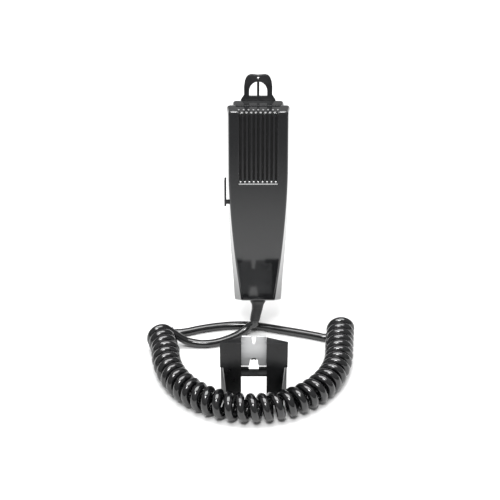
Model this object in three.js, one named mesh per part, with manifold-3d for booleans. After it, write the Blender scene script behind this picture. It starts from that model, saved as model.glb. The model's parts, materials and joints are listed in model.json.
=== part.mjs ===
// Push-to-talk hand microphone on a curly cord, with the small holder that it hangs in.
// Millimetres, +Z up. The microphone leans back, its cord lies on a table in front of it in a U,
// and the holder stands on the table inside the U. The origin is the middle of the hand grip.
import * as THREE from "three";
import { mergeVertices } from "three/addons/utils/BufferGeometryUtils.js";
import Module from "manifold-3d";

const wasm = await Module();
wasm.setup();

// ---- driving dimensions ------------------------------------------------------------------

const GAP = 0.3; // clearance that neighbouring pieces keep

// The microphone's own frame: x across, y back from the front face, z up from the bottom end.
const LEAN = THREE.MathUtils.degToRad(14); // how far the microphone leans back
const FOOT = new THREE.Vector3(0, 0.9, 41.4); // its front bottom edge, above the table
const GRIP = new THREE.Vector3(0, 12, 62); // the middle of the grip, which is the origin
const BODY_H = 173;
const HEAD_D = 33; // front to back at the head
const FOOT_D = 22; // front to back at the bottom
const GRIP_SWELL = 3; // how much deeper the middle of the grip is
const SPLIT = 18; // the parting plane's depth behind the front face
const REAR_STEP = 4.9; // the rear shell is this much narrower on each side
const FACE_HALF = 25.2; // half the front face's width at the head
const FACE_TAPER = 10.8; // how much narrower that half is at the bottom
const WIDE_HALF = 27; // half the width at the parting plane
const WIDE_TAPER = 6.4;
const TAPER_H = 120; // the taper starts this far up
const TAPER_POWER = 1.7;
const TOP_ROUND = 3; // rounding of the outline at the two ends
const BOTTOM_ROUND = 1.2;
const BOTTOM_SLANT = 0.38; // how far the bottom face drops per millimetre towards the back
const SLANT_TOP = 18; // the slant has faded out at this height
const WALL = 2.4;
const FRONT_WALL = 3.2;

// Grille: grooves that run down the front of the head and over its top edge.
const SLOT_COUNT = 9;
const SLOT_PITCH = 4;
const SLOT_W = 2;
const SLOT_DEPTH = 2.2;
const RECESS_HALF = 17.8;
const RECESS_DEPTH = 0.8;
const GRILLE_LOW = 108;

// Push-to-talk bar on the left side. Its foot passes through the case's wall to an arm inside.
const BAR_X = [-29.1, -27.3];
const BAR_Y = [2.6, 9.8];
const BAR_Z = [87.2, 110.9];
const BAR_FOOT_Y = [5.2, 9.4];
const BAR_FOOT_HALF = 1.3; // half its height
const ARM_X = [-19.6, -18.3];
const ARM_Y = [5.6, 9];
const ARM_TOP = 103;
const PIVOT = { x: -21.8, z: 89.6, r: 0.7 };
const EAR_THICK = 1.8;
const PLUNGER_Z = 101;
const PLUNGER_HALF = 1.4; // half its height
const PLUNGER_Y = [6.2, 8.6];

// Hang loop above the head.
const LOOP_Y = [33.6, 36.4];
const LOOP_TOP = 195.4;
const LOOP_HEAD_D = 1.3; // depth of the seats that its screw heads sit in
const WINDOW_HALF = 7.7;
const WINDOW_Z = [176.2, 188.9]; // the arched window under the loop's top
const POST_HALF = 1.05; // the post that divides the window
const SCREW_HEAD_R = 2.8;

// Cord: lead, coil and tail, in table coordinates with the table at z = 0.
const CORD_D = 7;
const COIL_D = 25;
const COIL_CENTRE = [-5, -33];
const COIL_R = 75.5; // radius of the U's round end
const COIL_LEFT = [-86.3, -8.2]; // where the U's two arms end
const COIL_RIGHT = [73.5, 4.7];
const BOOT_LEN = 24;
const BOOT_BEND = -2.8; // how far the boot's end is pulled to the left
const LEAD_POINTS = [
  [-7, 5.9, 9.6],
  [-11.4, 3.6, 6.3],
  [-16.6, 0.4, 4.4],
  [-24.8, -4.6, 3.5],
  [-34.5, -9.7, 3.5],
  [-42.5, -12, 3.5],
  [-51.3, -12.6, 3.8],
  [-60.2, -12, 5.3],
  [-66, -11.8, 7.9],
  [-69.9, -11.9, 10.3],
];
const TAIL_POINTS = [
  [61.2, -3.5, 3.5],
  [55, -2.2, 3.5],
  [45, 0.9, 3.5],
  [35, 3.7, 3.5],
  [21, 7.4, 3.5],
  [7.8, 10.9, 3.5],
  [-2.5, 13.2, 3.5],
  [-12.7, 14.3, 3.5],
  [-26, 13.7, 3.5],
  [-40.2, 11.4, 3.5],
  [-52.7, 8.2, 3.5],
  [-62, 5, 3.5],
  [-69, 3.4, 3.5],
  [-75.2, 3.1, 3.5],
];

// Six-way modular plug at the far end: where the cord enters it, its heading and its size.
const PLUG_AT = [-75.5, 3.1];
const PLUG_TURN = Math.PI;
const PLUG = { length: 15, width: 9.7, height: 6.6 };
const CONTACTS = 6;
const CONTACT_PITCH = 1.02;

// Holder, in its own frame: x from its middle, y back from its front, z up from the table.
const HOLDER_AT = [-3.8, -89.3];
const HOLDER_H = 65.8;
const STEP_Z = 39.6; // the blocks end here and the legs begin
const SHELF_Z = [29.6, 31.6];
const MOUTH_HALF = 10.5; // half the gap between the two arms
const BLOCK_HALF = 28.2;
const LEG_BACK = 27.7;
const LEG_FRONT = [25.6, 22.3]; // outer edge of a leg's front, at the top and at the table
const LEG_D = 8.4;
const PLATE_Y = [8.8, 10.3];
const PLATE_Z = [34.6, 66];
const PLATE_HALF = 17;
const TONGUE_HALF = 10.2; // only the plate's middle reaches its full height
const SHOULDER_Z = 62.6;
const BUMPER_R = [1.9, 2.9]; // inner and outer radius of the arch in the plate's lower notch
const BUMPER_Z = 39.8;
const RIVET_X = 14;
const RIVET_Z = [43, 59];
const RIVET_HEAD_R = 2.6;
const RIVET_HEAD_D = 0.9; // depth of the seats that the rivets' heads sit in

// ---- materials ---------------------------------------------------------------------------

const finish = (color, roughness, metalness = 0) =>
  new THREE.MeshStandardMaterial({ color, roughness, metalness });
const caseBlack = finish(0x17181a, 0.25);
const leverBlack = finish(0x101113, 0.35);
const rubberBlack = finish(0x141414, 0.6);
const cordBlack = finish(0x121314, 0.35);
const cloth = finish(0x0d0d0d, 0.95);
const foam = finish(0x2b2b2b, 1);
const steel = finish(0xb9bbbd, 0.35, 1);
const screwSteel = finish(0x3a3b3d, 0.4, 1);
const alloy = finish(0xc7c8ca, 0.3, 1);
const boardGreen = finish(0x1f4a2e, 0.5);
const switchGrey = finish(0x3c3f44, 0.5);
const clearPlastic = finish(0xc9ced2, 0.15);
const gold = finish(0xc9a44b, 0.25, 1);

// ---- shape helpers -----------------------------------------------------------------------

const box = ([x0, x1], [y0, y1], [z0, z1]) =>
  new THREE.BoxGeometry(x1 - x0, y1 - y0, z1 - z0).translate(
    (x0 + x1) / 2,
    (y0 + y1) / 2,
    (z0 + z1) / 2,
  );

// A cylinder, or a cone, whose axis runs along y from y0 to y1.
const rod = (x, z, [y0, y1], r0, r1 = r0, sides = 20) =>
  new THREE.CylinderGeometry(r1, r0, y1 - y0, sides).translate(x, (y0 + y1) / 2, 0).translate(0, 0, z);

// A flat outline in x and z, as thick as it reaches along y.
function plateOf(points, [y0, y1]) {
  const outline = new THREE.Shape(points.map(([x, z]) => new THREE.Vector2(x, z)));
  return new THREE.ExtrudeGeometry(outline, { depth: y1 - y0, bevelEnabled: false })
    .rotateX(Math.PI / 2)
    .translate(0, y1, 0);
}

// A flat outline in x and y, raised from z0 to z1.
function prism(points, [z0, z1]) {
  const outline = new THREE.Shape(points.map(([x, y]) => new THREE.Vector2(x, y)));
  return new THREE.ExtrudeGeometry(outline, { depth: z1 - z0, bevelEnabled: false }).translate(0, 0, z0);
}

// A closed skin through rings of points, each ring counter-clockwise seen from the last one.
function loft(rings) {
  const n = rings[0].length;
  const points = rings.flat();
  const middle = (ring) => ring.reduce((sum, p) => sum.add(p), new THREE.Vector3()).divideScalar(n);
  points.push(middle(rings[0]), middle(rings.at(-1)));
  const faces = [];
  for (let i = 0; i < n; i++) {
    const j = (i + 1) % n;
    const last = (rings.length - 1) * n;
    faces.push(j, i, points.length - 2, last + i, last + j, points.length - 1);
    for (let k = 0; k < rings.length - 1; k++) {
      const a = k * n;
      const b = a + n;
      faces.push(a + i, a + j, b + j, a + i, b + j, b + i);
    }
  }
  return new THREE.BufferGeometry().setFromPoints(points).setIndex(faces);
}

// A round tube along a curve.
function tube(curve, diameter, steps, sides) {
  const ring = new THREE.Shape();
  ring.absarc(0, 0, diameter / 2, 0, 2 * Math.PI);
  return new THREE.ExtrudeGeometry(ring, { steps, curveSegments: sides, extrudePath: curve });
}

function solid(geometry) {
  const plain = geometry.clone();
  plain.deleteAttribute("normal");
  plain.deleteAttribute("uv");
  const merged = mergeVertices(plain, 1e-4);
  return new wasm.Manifold(
    new wasm.Mesh({
      numProp: 3,
      vertProperties: merged.attributes.position.array,
      triVerts: new Uint32Array(merged.index.array),
    }),
  );
}

function geometryOf(body) {
  const made = body.getMesh();
  const geometry = new THREE.BufferGeometry();
  geometry.setAttribute("position", new THREE.BufferAttribute(made.vertProperties, 3));
  geometry.setIndex(new THREE.BufferAttribute(made.triVerts, 1));
  geometry.computeVertexNormals();
  return geometry;
}

const join = (first, ...rest) => rest.reduce((body, g) => body.add(solid(g)), solid(first));
const cut = (body, ...tools) => tools.reduce((left, g) => left.subtract(solid(g)), body);

function add(group, name, shape, material) {
  const geometry = shape.isBufferGeometry ? shape : geometryOf(shape);
  const mesh = new THREE.Mesh(geometry, material);
  mesh.name = name;
  group.add(mesh);
  return mesh;
}

// ---- the microphone's case ---------------------------------------------------------------

const smooth = (from, to, x) => THREE.MathUtils.smoothstep(x, from, to);

const taper = (z) => Math.pow(Math.max(0, 1 - z / TAPER_H), TAPER_POWER);

// How far the outline draws in near the two ends.
function endInset(z, low, high) {
  const [round, away] = z < BODY_H / 2 ? [BOTTOM_ROUND, z - low] : [TOP_ROUND, high - z];
  const into = round - away;
  return into > 0 ? round - Math.sqrt(round ** 2 - into ** 2) : 0;
}

function backAt(z) {
  return FOOT_D + GRIP_SWELL * smooth(0, 55, z) + (HEAD_D - FOOT_D - GRIP_SWELL) * smooth(70, 114, z);
}

const lowered = (y, z) => z - BOTTOM_SLANT * y * (1 - smooth(WALL, SLANT_TOP, z));

// The case's section at height z, drawn in by a wall on the sides, front and back. Near the bottom
// it tilts, so that the bottom face slants.
function caseRing(z, side, front, low, high) {
  const inset = endInset(z, low, high);
  const face = FACE_HALF - FACE_TAPER * taper(z) - side - inset;
  const wide = WIDE_HALF - WIDE_TAPER * taper(z) - inset;
  const narrow = wide - REAR_STEP - side;
  const back = backAt(z) - side - inset / 2;
  const first = front + inset / 2;
  const corner = Math.min(3, back - SPLIT - 1);
  const rim = side > 0 ? narrow : wide;
  const half = [
    [face - 1.2, first],
    [face, first + 1.2],
    [rim, SPLIT - GAP / 2],
    [narrow, SPLIT + GAP / 2],
  ];
  for (let i = 0; i <= 4; i++) {
    const a = (i / 4) * (Math.PI / 2);
    half.push([narrow - 0.8 - corner * (1 - Math.cos(a)), back - corner * (1 - Math.sin(a))]);
  }
  const mirrored = half.map(([x, y]) => [-x, y]).reverse();
  return [...half, ...mirrored].map(([x, y]) => new THREE.Vector3(x, y, lowered(y, z)));
}

function caseSolid(side, front, low, high) {
  const heights = [low, low + 0.4, low + BOTTOM_ROUND, low + 5, low + 9.5];
  for (let i = 1; i < 12; i++) heights.push(low + ((high - low) * i) / 12);
  heights.push(high - TOP_ROUND, high - 1.2, high - 0.4, high);
  return solid(loft(heights.map((z) => caseRing(z, side, front, low, high))));
}

const CASE_SCREWS = [
  [-17, 160],
  [17, 160],
  [-11.5, 17],
  [11.5, 17],
];
const STUD_Z = 128;
const LOOP_SCREW_X = 10;
const LOOP_SCREW_Z = 162;
const BOOT_Y = 11;

function buildCase(group) {
  const shell = caseSolid(0, 0, 0, BODY_H).subtract(
    caseSolid(WALL, FRONT_WALL, WALL, BODY_H - WALL),
  );
  const everywhere = [-40, 40];

  // Front half, with posts for the case screws. The push-to-talk bar's foot passes through a slot
  // in its side wall, between two ears that hold the bar's pin.
  let front = cut(shell, box(everywhere, [SPLIT - GAP / 2, 60], [-20, 200]));
  for (const [x, z] of CASE_SCREWS) {
    front = front.add(solid(rod(x, z, [FRONT_WALL - 1, SPLIT - GAP / 2], 3, 3, 12)));
    front = cut(front, rod(x, z, [8.5, 20], 1.6, 1.6, 12));
  }
  const earZ = [PIVOT.z - 2.2, PIVOT.z + 2.2];
  const slotY = [BAR_FOOT_Y[0] - 0.4, BAR_FOOT_Y[1] + 0.4];
  for (const y of [slotY[0] - EAR_THICK, slotY[1]]) {
    front = front.add(solid(box([-23, PIVOT.x + 1.9], [y, y + EAR_THICK], earZ)));
  }
  front = cut(
    front,
    rod(PIVOT.x, PIVOT.z, [FRONT_WALL + 0.1, 20], PIVOT.r + GAP, PIVOT.r + GAP, 16),
    box([-30, PIVOT.x + 3], slotY, [PIVOT.z - 2, PIVOT.z + 2]),
  );
  const recess = box([-RECESS_HALF, RECESS_HALF], [-1, RECESS_DEPTH], [GRILLE_LOW, BODY_H + 1]);
  const topRecess = box([-RECESS_HALF, RECESS_HALF], [-1, SPLIT], [BODY_H - RECESS_DEPTH, BODY_H + 1]);
  front = cut(front, recess, topRecess);
  for (let i = 0; i < SLOT_COUNT; i++) {
    const x = (i - (SLOT_COUNT - 1) / 2) * SLOT_PITCH;
    const wide = [x - SLOT_W / 2, x + SLOT_W / 2];
    front = cut(
      front,
      box(wide, [-1, SLOT_DEPTH], [GRILLE_LOW + 0.8, BODY_H + 1]),
      box(wide, [-1, 9], [BODY_H - 1.4, BODY_H + 1]),
    );
    if (Math.abs(x) > 13) continue; // the outer grooves are blind: screw posts stand behind them
    front = cut(front, box([x - 0.6, x + 0.6], [-1, FRONT_WALL + 1], [GRILLE_LOW + 6, BODY_H - 6]));
  }
  const bootHole = new THREE.CylinderGeometry(5, 5, 24, 24).rotateX(Math.PI / 2);
  front = cut(front, bootHole.translate(0, BOOT_Y, 0));
  add(group, "front_shell", front, caseBlack);

  // Back half, with sleeves that the case screws pass down.
  let back = cut(shell, box(everywhere, [-10, SPLIT + GAP / 2], [-20, 200]));
  for (const [x, z] of CASE_SCREWS) {
    const skin = backAt(z);
    back = back.add(solid(rod(x, z, [SPLIT + GAP / 2, skin - 1], 3.6, 3.6, 16)));
    back = cut(back, rod(x, z, [0, 60], 1.8, 1.8, 12), rod(x, z, [skin - 2.4, 60], 3, 3, 16));
  }
  back = cut(back, rod(0, STUD_Z, [20, 60], 1.8, 1.8, 16));
  for (const x of [-LOOP_SCREW_X, LOOP_SCREW_X]) {
    back = cut(back, rod(x, LOOP_SCREW_Z, [20, 60], 1.5, 1.5, 12));
  }
  add(group, "rear_shell", back, caseBlack);

  CASE_SCREWS.forEach(([x, z], i) => {
    const seat = backAt(z) - 2.4 + GAP;
    const shank = rod(x, z, [9.5, seat + 0.5], 1.25, 1.25, 10);
    const screw = join(shank, rod(x, z, [seat, seat + 1.7], 2.6, 2.6, 16));
    add(group, "case_screw_" + (i + 1), screw, screwSteel);
  });
}

// ---- what the case holds -----------------------------------------------------------------

function buildSound(group) {
  const z = 141;
  add(group, "acoustic_cloth", box([-13.5, 13.5], [3.5, 4], [GRILLE_LOW + 2, BODY_H - 5]), cloth);
  const can = join(rod(0, z, [6.4, 13.4], 12.5, 12.5, 28), rod(0, z, [13, 15.6], 8, 8, 24));
  add(group, "microphone_capsule", can, alloy);
  const ring = cut(solid(rod(0, z, [4.4, 12.4], 15.4, 15.4, 28)), rod(0, z, [0, 20], 12.8, 12.8, 28));
  add(group, "capsule_ring", ring, rubberBlack);
  add(group, "foam_block", box([-12, 12], [16, 24], [z - 12, z + 12]), foam);
}

function buildElectronics(group) {
  add(group, "circuit_board", box([-14, 14], [12.2, 13.8], [28, 112]), boardGreen);
  const tip = ARM_X[1] + GAP;
  const face = tip + 1.3; // the side of the microswitch that its plunger comes out of
  const plungerZ = [PLUNGER_Z - PLUNGER_HALF, PLUNGER_Z + PLUNGER_HALF];
  const well = box(
    [face - 1, tip + 4.2],
    [PLUNGER_Y[0] - GAP, PLUNGER_Y[1] + GAP],
    [plungerZ[0] - GAP, plungerZ[1] + GAP],
  );
  const housing = cut(solid(box([face, face + 8], [4.4, 11.9], [92, 112])), well);
  add(group, "microswitch", housing, switchGrey);
  add(group, "switch_plunger", box([tip, tip + 2.6], PLUNGER_Y, plungerZ), leverBlack);
}

function buildTalkBar(group) {
  const footZ = [PIVOT.z - BAR_FOOT_HALF, PIVOT.z + BAR_FOOT_HALF];
  const bar = join(
    box(BAR_X, BAR_Y, BAR_Z),
    box([BAR_X[0] + 0.5, ARM_X[1]], BAR_FOOT_Y, footZ),
    box(ARM_X, ARM_Y, [footZ[0], ARM_TOP]),
  );
  const bore = rod(PIVOT.x, PIVOT.z, [0, 20], PIVOT.r + GAP, PIVOT.r + GAP, 16);
  add(group, "talk_bar", cut(bar, bore), leverBlack);
  const pinY = [FRONT_WALL + 0.4, BAR_FOOT_Y[1] + EAR_THICK + 0.2];
  add(group, "talk_bar_pin", rod(PIVOT.x, PIVOT.z, pinY, PIVOT.r, PIVOT.r, 14), steel);
}

// ---- what is fastened on the back and the top --------------------------------------------

function buildHangParts(group) {
  // Outline of the loop: a foot on the back of the head, and an arch above it.
  const half = [
    [15, 155],
    [15, 172.6],
    [12.9, 176],
    [12.1, 177],
    [12.2, 184],
    [11.5, 189.5],
    [10.3, 192.6],
    [8.6, 194.5],
    [6.2, LOOP_TOP],
  ];
  const outline = [...half, [0, LOOP_TOP - 0.6], ...half.map(([x, z]) => [-x, z]).reverse()];
  // Half of the arched window on one side of the post: its top is a quarter of an ellipse.
  const window = (side) => {
    const spring = WINDOW_Z[1] - 8.5;
    const points = [
      [side * POST_HALF, WINDOW_Z[0]],
      [side * WINDOW_HALF, WINDOW_Z[0]],
    ];
    for (let i = 0; i <= 6; i++) {
      const a = (i / 6) * Math.acos(POST_HALF / WINDOW_HALF);
      points.push([side * WINDOW_HALF * Math.cos(a), spring + 8.5 * Math.sin(a)]);
    }
    return plateOf(side > 0 ? points : points.reverse(), [30, 40]);
  };
  let loop = solid(plateOf(outline, LOOP_Y));
  loop = cut(loop, window(1), window(-1), rod(0, 192.2, [30, 40], 0.9, 0.9, 14));
  const seat = LOOP_Y[1] - LOOP_HEAD_D;
  [-LOOP_SCREW_X, LOOP_SCREW_X].forEach((x, i) => {
    const hole = rod(x, LOOP_SCREW_Z, [30, 40], 1.8, 1.8, 14);
    const headSeat = rod(x, LOOP_SCREW_Z, [seat, 40], SCREW_HEAD_R + GAP, SCREW_HEAD_R + GAP, 16);
    loop = cut(loop, hole, headSeat);
    const shank = rod(x, LOOP_SCREW_Z, [27.5, seat + 0.6], 1.15, 1.15, 10);
    const head = rod(x, LOOP_SCREW_Z, [seat + GAP, LOOP_Y[1] - 0.1], SCREW_HEAD_R, 2.5, 16);
    add(group, "loop_screw_" + (i + 1), join(shank, head), screwSteel);
  });
  add(group, "hang_loop", loop, leverBlack);

  // Stud that drops into the holder's notch: a neck with a wide head, and a nut inside.
  const skin = HEAD_D + GAP;
  const stud = join(
    rod(0, STUD_Z, [24.6, skin + 1], 1.45, 1.45, 14),
    rod(0, STUD_Z, [skin, skin + 1.2], 4.5, 4.5, 24),
    rod(0, STUD_Z, [skin + 1, skin + 6], 2, 2, 20),
    rod(0, STUD_Z, [skin + 5.6, skin + 8], 6.5, 6, 28),
  );
  add(group, "hang_stud", stud, alloy);
  const thread = rod(0, STUD_Z, [20, 40], 1.8, 1.8, 14);
  const nut = cut(solid(rod(0, STUD_Z, [27.4, 30.2], 3.2, 3.2, 6)), thread);
  add(group, "stud_nut", nut, steel);
}

// ---- where the cord enters ---------------------------------------------------------------

// The boot's middle line bends to the left as it leaves the case.
const bootX = (z) => (z < 0 ? BOOT_BEND * Math.pow(-z / BOOT_LEN, 1.6) : 0);

function buildCableEntry(group) {
  const profile = [
    [6.2, 5.2],
    [6.2, 2.8],
    [4.7, 2.7],
    [4.7, -GAP],
    [6.8, -GAP - 0.05],
    [6.8, -1.4],
    [5.3, -4.2],
    [4.9, -8],
    [4.7, -12],
    [4.6, -17],
    [4.4, -22.6],
    [3.9, -BOOT_LEN],
  ];
  // Its upper rings tilt with the case's bottom face.
  const tilt = (z) => BOTTOM_SLANT * (1 - smooth(5, 20, -z));
  const ringAt = ([r, z]) =>
    Array.from({ length: 20 }, (_, i) => {
      const a = (i / 20) * 2 * Math.PI;
      const y = BOOT_Y + r * Math.sin(a);
      return new THREE.Vector3(bootX(z) + r * Math.cos(a), y, z - tilt(z) * y);
    });
  add(group, "cable_boot", loft(profile.map(ringAt).reverse()), rubberBlack);

  const jacket = new THREE.CylinderGeometry(3.4, 3.4, 19.9, 16).rotateX(Math.PI / 2);
  add(group, "cable_inside", jacket.translate(0, BOOT_Y, 12.8), cordBlack);
  const clampY = [3.5, BOOT_Y + 4.4];
  const cableHole = new THREE.CylinderGeometry(3.7, 3.7, 20, 16).rotateX(Math.PI / 2);
  const saddle = cut(
    solid(box([-8.6, 8.6], [BOOT_Y - 1, clampY[1]], [8, 13])),
    cableHole.translate(0, BOOT_Y, 11),
    rod(-6.2, 10.5, [0, 30], 1.5, 1.5, 12),
    rod(6.2, 10.5, [0, 30], 1.5, 1.5, 12),
  );
  add(group, "cable_clamp", saddle, steel);
  [-6.2, 6.2].forEach((x, i) => {
    const head = [clampY[1] + 0.2, clampY[1] + 1.4];
    const shank = rod(x, 10.5, [clampY[0], head[1] - 0.4], 1.15, 1.15, 10);
    add(group, "clamp_screw_" + (i + 1), join(shank, rod(x, 10.5, head, 2.1, 2.1, 14)), screwSteel);
  });
}

// ---- cord and plug -----------------------------------------------------------------------

const curveOf = (points) => new THREE.CatmullRomCurve3(points.map((p) => new THREE.Vector3(...p)));

function buildCord(group, exit, heading) {
  const start = exit.clone().addScaledVector(heading, GAP);
  const soon = exit.clone().addScaledVector(heading, 3);
  const lead = [start.toArray(), soon.toArray(), ...LEAD_POINTS];
  add(group, "lead_cord", tube(curveOf(lead), CORD_D, 30, 10), cordBlack);
  add(group, "tail_cord", tube(curveOf(TAIL_POINTS), CORD_D, 34, 10), cordBlack);

  // The coiled stretch as one fat tube: two straight arms and a half circle.
  const z = COIL_D / 2;
  const points = [[...COIL_LEFT, z]];
  for (let i = 0; i <= 12; i++) {
    const a = (i / 12) * Math.PI;
    points.push([COIL_CENTRE[0] - COIL_R * Math.cos(a), COIL_CENTRE[1] - COIL_R * Math.sin(a), z]);
  }
  points.push([...COIL_RIGHT, z]);
  add(group, "coil_cord", tube(curveOf(points), COIL_D, 30, 14), cordBlack);
}

function buildPlug(group) {
  const { length, width, height } = PLUG;
  const half = width / 2;
  let body = solid(box([0, length], [-half, half], [0, height]));
  body = cut(body, box([length - 8.6, length + 1], [-3.4, 3.4], [height - 1.6, height + 1]));
  for (let i = 0; i < CONTACTS; i++) {
    const y = (i - (CONTACTS - 1) / 2) * CONTACT_PITCH;
    body = cut(body, box([length - 4.6, length + 1], [y - 0.32, y + 0.32], [-1, 2.4]));
  }
  add(group, "plug_body", body, clearPlastic);
  for (let i = 0; i < CONTACTS; i++) {
    const y = (i - (CONTACTS - 1) / 2) * CONTACT_PITCH;
    const blade = box([length - 4.3, length - 0.6], [y - 0.16, y + 0.16], [0.5, 2.1]);
    add(group, "plug_contact_" + (i + 1), blade, gold);
  }
  // Latch: a tongue that starts near the nose and rises towards the cord.
  const tongue = [
    [length - 0.4, height - 1.2],
    [length - 0.4, height - 0.2],
    [length - 4.6, height + 1],
    [2.6, height + 3.2],
    [2.6, height + 2.2],
    [length - 5, height],
  ];
  add(group, "plug_latch", plateOf(tongue, [-1.6, 1.6]), clearPlastic);
}

// ---- holder ------------------------------------------------------------------------------

function buildHolder(group) {
  const legFront = (z) => LEG_FRONT[1] + ((LEG_FRONT[0] - LEG_FRONT[1]) * z) / STEP_Z;
  const backOf = (x) => LEG_D - ((LEG_D - 1.5) * (x - MOUTH_HALF)) / (BLOCK_HALF - MOUTH_HALF);
  const blockPlan = [
    [MOUTH_HALF, 0],
    [BLOCK_HALF - 4.2, 0],
    [BLOCK_HALF, 0.7],
    [BLOCK_HALF, backOf(BLOCK_HALF) + 0.7],
    [MOUTH_HALF, LEG_D],
  ];
  const legPlan = (z, side) =>
    [
      [MOUTH_HALF + 0.2, 0.5],
      [legFront(z), 0.5],
      [LEG_BACK, LEG_D - 2],
      [LEG_BACK, LEG_D],
      [MOUTH_HALF + 0.2, LEG_D],
    ].map(([x, y]) => new THREE.Vector3(side * x, y, z));
  const shelf = [
    [-MOUTH_HALF - 1, 1],
    [MOUTH_HALF + 1, 1],
    [MOUTH_HALF + 1, LEG_D],
    [-MOUTH_HALF - 1, LEG_D],
  ];
  let body = solid(prism(shelf, SHELF_Z));
  body = body.add(solid(box([-MOUTH_HALF - 1, -4.2], [LEG_D - 1.6, LEG_D], [SHELF_Z[0], PLATE_Z[0] - GAP])));
  body = body.add(solid(box([4.2, MOUTH_HALF + 1], [LEG_D - 1.6, LEG_D], [SHELF_Z[0], PLATE_Z[0] - GAP])));
  for (const side of [-1, 1]) {
    const plan = blockPlan.map(([x, y]) => [side * x, y]);
    const rings = [0, STEP_Z + 0.5].map((z) => legPlan(z, side));
    if (side < 0) {
      plan.reverse();
      rings.forEach((ring) => ring.reverse());
    }
    body = body.add(solid(prism(plan, [STEP_Z, HOLDER_H]))).add(solid(loft(rings)));
    for (const z of RIVET_Z) {
      body = cut(body, rod(side * RIVET_X, z, [3, 20], 1.5, 1.5, 14));
    }
  }
  add(group, "holder_body", body, caseBlack);

  // Steel plate with a V notch for the stud at the top. A rubber bumper lines the round top of
  // the notch at its bottom.
  const arch = (radius, low, high) =>
    Array.from({ length: 9 }, (_, i) => {
      const a = THREE.MathUtils.degToRad(low + ((high - low) * i) / 8);
      return [radius * Math.cos(a), BUMPER_Z + radius * Math.sin(a)];
    });
  const half = [
    [1.1, PLATE_Z[1] - 8],
    [2.35, PLATE_Z[1]],
    [TONGUE_HALF, PLATE_Z[1]],
    [TONGUE_HALF, SHOULDER_Z],
    [PLATE_HALF, SHOULDER_Z],
    [PLATE_HALF, PLATE_Z[0]],
    [4.2, PLATE_Z[0]],
    [3.6, 36.6],
  ];
  const mirrored = half.map(([x, z]) => [-x, z]).reverse();
  const outline = [...half, ...arch(BUMPER_R[1] + GAP, 0, 180), ...mirrored];
  let plate = solid(plateOf(outline, PLATE_Y));
  const bumper = [...arch(BUMPER_R[1], 35, 145), ...arch(BUMPER_R[0], 145, 35)];
  add(group, "notch_bumper", plateOf(bumper, [PLATE_Y[0] - 0.4, PLATE_Y[1] - 0.2]), rubberBlack);
  [-RIVET_X, RIVET_X].forEach((x, i) => {
    RIVET_Z.forEach((z, k) => {
      const seat = PLATE_Y[1] - RIVET_HEAD_D;
      const headSeat = rod(x, z, [seat, 20], RIVET_HEAD_R + GAP, RIVET_HEAD_R + GAP, 18);
      plate = cut(plate, rod(x, z, [0, 20], 1.5, 1.5, 14), headSeat);
      const head = rod(x, z, [seat + GAP, PLATE_Y[1] - 0.1], RIVET_HEAD_R, RIVET_HEAD_R, 18);
      const rivet = join(rod(x, z, [3.6, seat + 0.6], 1.2, 1.2, 12), head);
      add(group, "holder_rivet_" + (2 * i + k + 1), rivet, steel);
    });
  });
  add(group, "holder_plate", plate, steel);
}

// ---- assembly ----------------------------------------------------------------------------

const table = new THREE.Group();

const microphone = new THREE.Group();
microphone.rotation.x = -LEAN;
microphone.position.copy(FOOT);
table.add(microphone);
buildCase(microphone);
buildSound(microphone);
buildElectronics(microphone);
buildTalkBar(microphone);
buildHangParts(microphone);
buildCableEntry(microphone);
microphone.updateMatrixWorld(true);

const bootEnd = new THREE.Vector3(BOOT_BEND, BOOT_Y, -BOOT_LEN).applyMatrix4(microphone.matrixWorld);
const bootHeading = new THREE.Vector3(0, 0, -1).transformDirection(microphone.matrixWorld);
buildCord(table, bootEnd, bootHeading);

const plug = new THREE.Group();
plug.position.set(...PLUG_AT, 0);
plug.rotation.z = PLUG_TURN;
table.add(plug);
buildPlug(plug);

const holder = new THREE.Group();
holder.position.set(...HOLDER_AT, 0);
table.add(holder);
buildHolder(holder);

// The whole set moves so that the middle of the grip is the origin.
table.position.copy(GRIP.clone().applyMatrix4(microphone.matrixWorld)).negate();
const group = new THREE.Group();
group.add(table);

export default group;
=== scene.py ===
import json
import math

import bmesh
import bpy
from mathutils import Matrix, Vector


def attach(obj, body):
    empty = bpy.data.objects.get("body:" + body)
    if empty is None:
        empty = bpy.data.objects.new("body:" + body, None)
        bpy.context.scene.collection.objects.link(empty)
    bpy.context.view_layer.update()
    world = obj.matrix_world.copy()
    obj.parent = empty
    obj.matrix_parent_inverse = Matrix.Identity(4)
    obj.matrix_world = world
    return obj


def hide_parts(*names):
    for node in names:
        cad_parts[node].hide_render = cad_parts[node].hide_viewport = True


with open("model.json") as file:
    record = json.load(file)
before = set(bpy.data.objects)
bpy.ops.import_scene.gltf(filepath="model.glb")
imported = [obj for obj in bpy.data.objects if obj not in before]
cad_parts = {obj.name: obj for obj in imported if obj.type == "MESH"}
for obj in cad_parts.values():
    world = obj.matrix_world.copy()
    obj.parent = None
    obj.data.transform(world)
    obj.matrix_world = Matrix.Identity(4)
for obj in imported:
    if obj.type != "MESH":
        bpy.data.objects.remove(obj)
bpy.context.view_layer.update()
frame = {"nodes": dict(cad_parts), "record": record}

# The looks of a push-to-talk hand microphone, its curly cord with a modular plug, and its holder.
# Each visible piece replaces its CAD node. What is hidden inside the case keeps its CAD shape.

record = frame["record"]
BODY_OF = {node: body for body, nodes in record["behaviour"]["bodies"].items() for node in nodes}

# ---- driving dimensions, in millimetres unless a name says otherwise ---------------------------

MM = 0.001
CLEARANCE = 0.3  # screws, pins and rivets keep this far from what they sit in

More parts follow.
